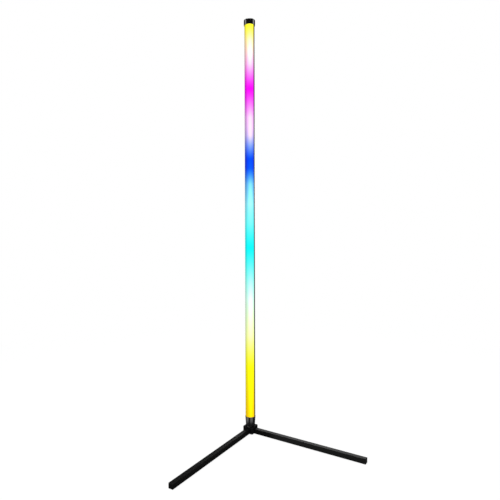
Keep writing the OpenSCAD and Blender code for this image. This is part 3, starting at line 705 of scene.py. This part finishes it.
class LAMP_OT_stage(Operator):
    """Plain pale floor, soft light and the photograph's camera"""

    bl_idname = "lamp.stage"
    bl_label = "Stage and Camera"

    def execute(self, context):
        stage = settings("lamp_stage")
        self.floor(stage)
        self.sky(context.scene, stage)
        self.lamps()
        self.camera(context.scene, stage)
        context.scene.view_settings.view_transform = "Standard"
        return {"FINISHED"}

    def floor(self, stage):
        """Mostly plain white to the camera, with the soft shadow; reflections see painted pools of light and
        painted shade.
        """
        work = bmesh.new()
        bmesh.ops.create_circle(work, cap_ends=True, radius=stage.floor_radius, segments=96)
        mesh = bpy.data.meshes.new("floor")
        work.to_mesh(mesh)
        work.free()
        floor = new_object("floor", mesh)
        f = Finish("Pale floor")
        seen, mirrored = f.rays()
        diffuse = f.node("ShaderNodeBsdfDiffuse", {}, {"Color": (*stage.floor_colour, 1.0)})
        distance = f.vector("LENGTH", f.place)
        plain = stage.floor_white + distance.step(*FAR_FLOOR) * (1.0 - stage.floor_white)
        # Painted light, seen only in reflections: two pools of brightness, none close to the pole, where the
        # dim floor is a painted shadow round the base; the rest of the reflected floor is dimmed as painted
        # shade
        outward = f.vector("NORMALIZE", f.place)
        left, front = (
            f.vector("DOT_PRODUCT", outward, (math.cos(turn), math.sin(turn), 0.0)).step(*PAINTED_POOL_SPREAD)
            for turn in (stage.left_painted_pool, stage.front_painted_pool)
        )
        pools = (left + front).at_most(1.0) * distance.step(*PAINTED_SHADE_EDGE)
        reflected = stage.floor_mirrored + pools * (1.0 - stage.floor_mirrored)
        level = seen + mirrored * reflected
        white = f.node("ShaderNodeEmission", {}, {"Color": WHITE, "Strength": level})
        both = f.node("ShaderNodeMixShader", {}, {0: seen * plain + mirrored, 1: diffuse, 2: white})
        f.node("ShaderNodeOutputMaterial", {}, {"Surface": both})
        mesh.materials.append(f.material)

    def sky(self, scene, stage):
        """White backdrop all round; reflections see it end at the backdrop's edge."""
        world = bpy.data.worlds.new("Studio")
        world.use_nodes = True
        scene.world = world
        w = Nodes(world.node_tree)
        seen, mirrored = w.rays()
        direction = w.node("ShaderNodeTexCoord", output="Generated")
        rise = w.node("ShaderNodeSeparateXYZ", {}, {0: direction}).out("Z")
        edge = math.sin(stage.backdrop_top)
        below = rise.step(edge + BACKDROP_BLUR, edge - BACKDROP_BLUR)
        away = (math.cos(stage.camera_azimuth), math.sin(stage.camera_azimuth), 0.0)
        backdrop = below * w.vector("DOT_PRODUCT", direction, away).step(*BACKDROP_BEHIND)
        reflected = stage.dim_level + backdrop * (1.0 - stage.dim_level)
        level = seen + (1.0 - seen) * (mirrored * reflected + (1.0 - mirrored) * stage.sky_light)
        light = w.node("ShaderNodeBackground", {}, {"Color": WHITE, "Strength": level})
        w.node("ShaderNodeOutputWorld", {}, {"Surface": light})

    def lamps(self):
        for name, place, width, height, power in SOFT_BOXES:
            lamp = bpy.data.lights.new(name, "AREA")
            lamp.shape = "RECTANGLE"
            lamp.size = width
            lamp.size_y = height
            lamp.energy = power
            box = new_object(name, lamp)
            facing = (LIT_SPOT - Vector(place)).to_track_quat("-Z", "Y").to_matrix()
            box.matrix_world = Matrix.Translation(place) @ facing.to_4x4()

    def camera(self, scene, stage):
        data = bpy.data.cameras.new("photograph")
        data.sensor_fit = "HORIZONTAL"
        data.sensor_width = SENSOR_WIDTH
        data.lens = stage.lens
        camera = new_object("photograph", data)
        camera.matrix_world = (
            Matrix.Translation(stage.camera_place)
            @ Matrix.Rotation(stage.camera_azimuth - QUARTER, 4, "Z")
            @ Matrix.Rotation(QUARTER - stage.camera_pitch, 4, "X")
            @ Matrix.Rotation(-stage.camera_roll, 4, "Z")
        )
        scene.camera = camera


class LAMP_OT_hub(Operator):
    """Square hub with its bottom cover"""

    bl_idname = "lamp.hub"
    bl_label = "Hub"

    SIDE_DEPTH = 1.0 * MM  # how far in from a side face the hub's outer edges lie
    CORNER_DEPTH = 3.0 * MM  # the same at a corner, over both sides together
    BOTTOM_ZONE = 0.2 * MM  # left sharp round the cover

    def execute(self, context):
        sizes = settings("lamp_sizes")
        turn = LEG_TURNS["right"]
        low = own_box("base_hub", turn)[0]
        half = -low.x  # the faces turned away from the legs carry no spigot

        def outer(edge):
            """The roof's bevel, the upright corners and the chamfers, but not the spigots or the hollow."""
            spot = turned(middle(edge), turn)
            across = max(abs(spot.x), abs(spot.y))
            on_side = across > half - self.SIDE_DEPTH
            on_corner = abs(spot.x) + abs(spot.y) > 2 * half - self.CORNER_DEPTH
            return (on_side or on_corner) and across < half + TOUCH and spot.z > low.z + self.BOTTOM_ZONE

        rounding = (sizes.moulded_edge, sizes.edge_steps, outer)
        refine("base_hub", "hub_body", "black_plastic", "base", rounding)
        refine("hub_cover", "cover_plate", "black_plastic", "base")
        return {"FINISHED"}


class LAMP_OT_legs(Operator):
    """Square leg tubes and their end plugs"""

    bl_idname = "lamp.legs"
    bl_label = "Legs"

    TUBE_STEPS = 2

    def execute(self, context):
        sizes = settings("lamp_sizes")
        for side, turn in LEG_TURNS.items():
            start, end = own_box(side + "_leg", turn)
            reach = own_box(side + "_leg_plug", turn)[1].x

            def cut_end(edge):
                x = turned(middle(edge), turn).x
                return abs(x - start.x) < TOUCH or abs(x - end.x) < TOUCH

            def plug_face(edge):
                return turned(middle(edge), turn).x > reach - TOUCH

            tube_rounding = (sizes.tube_edge, self.TUBE_STEPS, cut_end)
            plug_rounding = (sizes.plug_edge, sizes.edge_steps + 1, plug_face)
            refine(side + "_leg", side + "_tube", "leg_paint", "base", tube_rounding)
            refine(side + "_leg_plug", side + "_plug", "black_plastic", "base", plug_rounding)
        return {"FINISHED"}


class LAMP_OT_pads(Operator):
    """Rubber pads with ribs on their undersides"""

    bl_idname = "lamp.pads"
    bl_label = "Rubber Pads"

    HUB_MARGIN = 3.0 * MM  # from the hub pad's edge to its ribs, past its round corners
    LEG_MARGIN = 1.0 * MM
    RIB_SIDES = 12

    def execute(self, context):
        sizes = settings("lamp_sizes")
        self.pad("hub_pad", LEG_TURNS["right"], self.HUB_MARGIN, sizes)
        for side, turn in LEG_TURNS.items():
            self.pad(side + "_leg_pad", turn, self.LEG_MARGIN, sizes)
        return {"FINISHED"}

    def pad(self, node, turn, margin, sizes):
        """The pad, with its underside raised by the ribs' depth, and the round-topped ribs across it."""
        low, high = own_box(node, turn)
        work = welded(node)
        for vert in work.verts:
            if vert.co.z < low.z + TOUCH:
                vert.co.z += sizes.rib_depth
        dress(finished_piece(work, node + "_body"), "pad_rubber", "base", node)

        number = int((high.x - low.x - 2 * margin) / sizes.rib_pitch) + 1
        span = high.y - low.y - 2 * margin
        inputs = {"Count": number, "Pitch": sizes.rib_pitch, "Length": span, "Depth": sizes.rib_depth}
        recipe = Recipe(node + " ribs", inputs)
        depth = recipe["Depth"]
        first = (low.x + high.x - (number - 1) * sizes.rib_pitch) / 2
        rib = recipe.rod(self.RIB_SIDES, depth, recipe["Length"])
        start = recipe.along(first, (low.y + high.y) / 2, depth)
        row = recipe.repeated(rib, start, x=recipe["Pitch"])
        recipe.grow(node + "_ribs", row, turn, "pad_rubber", "base")


class LAMP_OT_fasteners(Operator):
    """Screws, washers, bolt and insert"""

    bl_idname = "lamp.fasteners"
    bl_label = "Fasteners"

    def execute(self, context):
        for body, slot, look, nodes in (
            ("base", "steel", "steel", ("hub_cover_screws", "leg_screws", "clamp_washer")),
            ("pole", "steel", "steel", ("foot_screws", "spring_washer")),
            ("pole", "steel", "bolt_steel", ("pole_bolt",)),
            ("pole", "brass", "brass", ("foot_insert",)),
            ("base", "nylon", "nylon", ("slide_washer",)),
        ):
            for node in nodes:
                refine(node, node + "_finished", slot, body, look=look)
        return {"FINISHED"}


class LAMP_OT_foot(Operator):
    """Tapered foot of the pole"""

    bl_idname = "lamp.foot"
    bl_label = "Pole Foot"

    SMOOTH_BELOW = 12.0  # degrees: keeps the inlet's shallow pocket crisp
    CONE_DEPTH = 0.02 * MM  # how far off the cone its own corners may lie
    CONE_BEND = math.radians(10)  # how far its faces may turn from it

    def execute(self, context):
        sizes = settings("lamp_sizes")
        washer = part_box("slide_washer")[1]  # the foot stands on it

        def outer(edge):
            """The round edges at the foot's bottom and at its rim."""
            spot = middle(edge)
            at_end = min(abs(spot.z - washer.z), abs(spot.z - POLE_FOOT_Z)) < TOUCH
            return at_end and spot.xy.length > washer.x

        rounding = (sizes.moulded_edge, sizes.foot_steps, outer)
        foot = refine("pole_foot", "foot_body", "gloss_black", "pole", rounding, self.SMOOTH_BELOW)
        self.even_taper(foot.data, washer.z)
        return {"FINISHED"}

    def even_taper(self, mesh, bottom):
        """Gives the corners on the tapered side the normals of its true cone."""

        def ring(z):
            spots = [v.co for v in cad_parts["pole_foot"].data.vertices if abs(v.co.z - z) < TOUCH]
            return max(spot.xy.length for spot in spots)

        low_radius = ring(bottom)
        slope = (ring(POLE_FOOT_Z) - low_radius) / (POLE_FOOT_Z - bottom)
        normals = [Vector(corner.vector) for corner in mesh.corner_normals]
        for face in mesh.polygons:
            for corner in face.loop_indices:
                spot = mesh.vertices[mesh.loops[corner].vertex_index].co
                radius = spot.xy.length
                true = Vector((spot.x, spot.y, -slope * radius)).normalized()
                on_cone = abs(low_radius + slope * (spot.z - bottom) - radius) < self.CONE_DEPTH
                if on_cone and face.normal.angle(true) < self.CONE_BEND:
                    normals[corner] = true
        mesh.normals_split_custom_set(normals)


class LAMP_OT_pole(Operator):
    """Channel, diffuser and top cap of the pole"""

    bl_idname = "lamp.pole"
    bl_label = "Pole"

    LIP_ZONE = 1.0 * MM  # above the cap's lowest point

    def execute(self, context):
        sizes = settings("lamp_sizes")
        refine("pole_channel", "channel_body", "black_aluminium", "pole")
        refine("diffuser", "diffuser_body", "milky_diffuser", "pole")
        skirt_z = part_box("top_cap")[0].z

        def lip(edge):
            """The skirt's lower edges, outside and inside."""
            spot = middle(edge)
            return spot.xy.length > POLE_RADIUS and spot.z < skirt_z + self.LIP_ZONE

        refine("top_cap", "cap_body", "gloss_black", "pole", (sizes.lip_edge, sizes.edge_steps, lip))
        return {"FINISHED"}


class LAMP_OT_light(Operator):
    """Light strip with its chips, solder pads and resistors"""

    bl_idname = "lamp.light"
    bl_label = "Light Strip"

    FLOOR_SHARE = 0.6  # of a housing's depth, behind its window
    WINDOW_SHARE = 0.3  # of that depth, for the window itself
    WINDOW_PLACE = 0.25  # of that depth, from the front to the window's middle
    WINDOW_SIDES = 20
    TAB_OUT = 0.4 * MM  # how far a terminal stands out
    TAB_HEIGHT = 0.9 * MM
    TAB_PLACE = 0.25  # of the depth, from a terminal's middle to the back
    TAB_ROWS = (-1.6 * MM, 0.0, 1.6 * MM)
    GROUP = 3  # chips between two places where the strip may be cut
    PAD_COLUMNS = (-3.0 * MM, 0.0, 3.0 * MM)
    PAD_ROWS = (-1.4 * MM, 1.4 * MM)
    RESISTOR = (1.6 * MM, 0.5 * MM, 3.0 * MM)
    RESISTOR_PLACE = (2.6 * MM, 4.4 * MM)  # across and up from the middle of the pads

    def execute(self, context):
        sizes = settings("lamp_sizes")
        paint("strip_white", "light_strip")
        low, high = own_box("light_chips", POLE_TURN)
        side = high.x - low.x
        number = round((high.z - low.z - side) / sizes.chip_pitch) + 1
        first = low.z + side / 2
        self.chips(sizes, (number, first, sizes.chip_pitch), side, low.y, high.y)

        cuts = (number - 1) // self.GROUP
        cut_z = first + sizes.chip_pitch * (self.GROUP - 0.5)
        face = own_box("light_strip", POLE_TURN)[0].y
        self.strip_details(sizes, (cuts, cut_z, sizes.chip_pitch * self.GROUP), face)
        return {"FINISHED"}

    def column(self, name, slot, shape, row, inputs, look=None, nodes=()):
        """One small shape repeated up the pole; row is the number, first height and pitch."""
        recipe = Recipe(name, {**dict(zip(("Count", "First", "Pitch"), row)), **inputs})
        repeated = recipe.repeated(shape(recipe), recipe.along(z=recipe["First"]), z=recipe["Pitch"])
        recipe.grow(name, repeated, POLE_TURN, slot, "pole", look, nodes)

    def chips(self, sizes, row, side, face, back):
        """Housings, resin windows and terminals, between the chips' faces and their backs."""
        thick = back - face

        def housing(recipe):
            """A square frame round the window, with a floor behind it."""
            width, depth, wall = recipe["Side"], recipe["Depth"], recipe["Rim"]
            upright = recipe.block(wall, depth, width)
            bar = recipe.block(width, depth, wall)
            floor = recipe.block(width, depth * self.FLOOR_SHARE, width)
            offset = (width - wall) / 2
            parts = [recipe.moved(upright, recipe.along(x=offset * s)) for s in (-1, 1)]
            parts += [recipe.moved(bar, recipe.along(z=offset * s)) for s in (-1, 1)]
            parts.append(recipe.moved(floor, recipe.along(y=depth * ((1 - self.FLOOR_SHARE) / 2))))
            return recipe.moved(recipe.joined(parts), recipe.along(y=(face + back) / 2))

        def window(recipe):
            disc = recipe.rod(self.WINDOW_SIDES, recipe["Window"] / 2, recipe["Depth"] * self.WINDOW_SHARE)
            return recipe.moved(disc, recipe.along(y=face + thick * self.WINDOW_PLACE))

        def terminals(recipe):
            tab = recipe.block(recipe["Tab"], thick, self.TAB_HEIGHT)
            reach = (recipe["Side"] + recipe["Tab"]) / 2
            y = back - thick * self.TAB_PLACE
            return recipe.joined(
                recipe.moved(tab, recipe.along(reach * s, y, z)) for s in (-1, 1) for z in self.TAB_ROWS
            )

        inputs = {"Side": side, "Depth": thick, "Rim": (side - sizes.lens_d) / 2}
        self.column("chip_housings", "light_chip", housing, row, inputs, nodes=["light_chips"])
        inputs = {"Window": sizes.lens_d, "Depth": thick}
        self.column("chip_windows", "light_chip", window, row, inputs, "resin")
        inputs = {"Side": side, "Tab": self.TAB_OUT}
        self.column("chip_terminals", "steel", terminals, row, inputs)

    def strip_details(self, sizes, row, face):
        """Solder pads where the strip may be cut, and a resistor beside them."""
        width, thick, tall = self.RESISTOR
        resistor_x, resistor_z = self.RESISTOR_PLACE

        def pads(recipe):
            size = recipe["Pad"]
            pad = recipe.block(size, recipe["Rise"], size)
            y = face - sizes.pad_rise / 2
            return recipe.joined(
                recipe.moved(pad, recipe.along(x, y, z)) for x in self.PAD_COLUMNS for z in self.PAD_ROWS
            )

        def resistor(recipe):
            block = recipe.block(recipe["Width"], thick, recipe["Length"])
            return recipe.moved(block, recipe.along(resistor_x, face - thick / 2, resistor_z))

        inputs = {"Pad": sizes.solder_pad, "Rise": sizes.pad_rise}
        self.column("strip_pads", "brass", pads, row, inputs, "copper")
        inputs = {"Width": width, "Length": tall}
        self.column("strip_resistors", "black_plastic", resistor, row, inputs)


class LAMP_OT_controller(Operator):
    """Controller board, its parts, tape and wires"""

    bl_idname = "lamp.controller"
    bl_label = "Controller"

    PART_STEPS = 2
    PINS = 4  # on each side of an integrated circuit
    PIN = (0.9 * MM, 0.3 * MM, 0.45 * MM)
    CIRCUITS = (-3.4, 3.4)  # millimetres across the board, to the middles of the two circuits
    PIN_ROWS = (-2.4, 2.4)  # millimetres from there to its pins
    CIRCUITS_UP = 22.5 * MM  # from the board's lower end

    def execute(self, context):
        edge = settings("lamp_sizes").part_edge
        paint("green_board", "controller_board", "radio_receiver")
        paint("nylon", "board_plug")
        paint("foam_tape", "board_tape")
        rounding = (edge, self.PART_STEPS, lambda _: True)
        refine("board_parts", "board_components", "black_plastic", "pole", rounding)
        self.pins()
        self.wire("strip_lead", "pale_insulation")
        self.wire("inlet_lead", "red_insulation")
        return {"FINISHED"}

    def pins(self):
        """Two rows of legs on each of the two small circuits."""
        pitch = settings("lamp_sizes").pin_pitch
        board_low, board_high = own_box("controller_board", POLE_TURN)
        out, thick, wide = self.PIN
        start_y = board_high.y + thick / 2
        start_z = board_low.z + self.CIRCUITS_UP - (self.PINS - 1) / 2 * pitch
        recipe = Recipe("IC pins", {"Count": self.PINS, "Pitch": pitch, "Pin": wide})
        pin = recipe.block(out, thick, recipe["Pin"])
        rows = [
            recipe.repeated(pin, recipe.along((centre + shift) * MM, start_y, start_z), z=recipe["Pitch"])
            for centre in self.CIRCUITS
            for shift in self.PIN_ROWS
        ]
        recipe.grow("board_pins", recipe.joined(rows), POLE_TURN, "steel", "pole")

    def wire(self, node, slot):
        """A packed wire made round and smooth."""
        work = merged(node)
        bmesh.ops.join_triangles(
            work, faces=work.faces, angle_face_threshold=WIRE_BEND, angle_shape_threshold=WIRE_BEND
        )
        piece = smooth_object(work, node + "_round")
        smooth = piece.modifiers.new("Round", "SUBSURF")
        smooth.levels = 1
        smooth.render_levels = 1
        dress(applied(piece), slot, "pole", node)


class LAMP_OT_inlet(Operator):
    """Power inlet low on the pole's back"""

    bl_idname = "lamp.inlet"
    bl_label = "Power Inlet"

    MOUTH_STEPS = 2
    TIP_STEPS = 3

    def execute(self, context):
        edge = settings("lamp_sizes").lip_edge
        mouth = (edge, self.MOUTH_STEPS, at_back("power_inlet"))
        tip = (2 * edge, self.TIP_STEPS, at_back("inlet_pin"))
        refine("power_inlet", "inlet_barrel", "black_plastic", "pole", mouth)
        refine("inlet_pin", "inlet_centre_pin", "brass", "pole", tip)
        refine("inlet_nut", "inlet_nut_finished", "steel", "pole")
        paint("brass", "inlet_tabs")
        return {"FINISHED"}


OPERATORS = (LAMP_OT_stage, LAMP_OT_hub, LAMP_OT_legs, LAMP_OT_pads, LAMP_OT_fasteners)
OPERATORS += (LAMP_OT_foot, LAMP_OT_pole, LAMP_OT_light, LAMP_OT_controller, LAMP_OT_inlet)


class LAMP_PT_panel(Panel):
    """Settings and pieces of the lamp"""

    bl_idname = "LAMP_PT_panel"
    bl_label = "Corner Lamp"
    bl_space_type = "VIEW_3D"
    bl_region_type = "UI"
    bl_category = "Corner Lamp"

    def draw(self, context):
        layout = self.layout
        for operator in OPERATORS:
            layout.operator(operator.bl_idname)
        for name in GROUPS:
            box = layout.box()
            group = settings(name)
            for key in GROUPS[name].__annotations__:
                if key != "zones":
                    box.prop(group, key)
        for zone in settings("lamp_glow").zones:
            row = layout.row()
            row.label(text=zone.name)
            row.prop(zone, "height", text="")
            row.prop(zone, "colour", text="")


GROUPS = {
    "lamp_sizes": LampSizes,
    "lamp_colours": LampColours,
    "lamp_glow": GlowSettings,
    "lamp_stage": StageSettings,
}
CLASSES = (GlowZone, *GROUPS.values(), *OPERATORS, LAMP_PT_panel)


def register():
    for cls in CLASSES:
        bpy.utils.register_class(cls)
    for name, group in GROUPS.items():
        setattr(bpy.types.Scene, name, PointerProperty(type=group))


def unregister():
    for name in GROUPS:
        delattr(bpy.types.Scene, name)
    for cls in reversed(CLASSES):
        bpy.utils.unregister_class(cls)


def fill_program(glow):
    """Puts the light program's zones in the scene's settings."""
    glow.zones.clear()
    for name, height, shown in LIGHT_PROGRAM:
        zone = glow.zones.add()
        zone.name = name
        zone.height = height * MM
        zone.colour = [level / 255 for level in bytes.fromhex(shown)]


def main():
    register()
    fill_program(settings("lamp_glow"))
    for operator in OPERATORS:
        getattr(bpy.ops.lamp, operator.bl_idname.split(".")[1])()


if __name__ == "__main__":
    main()
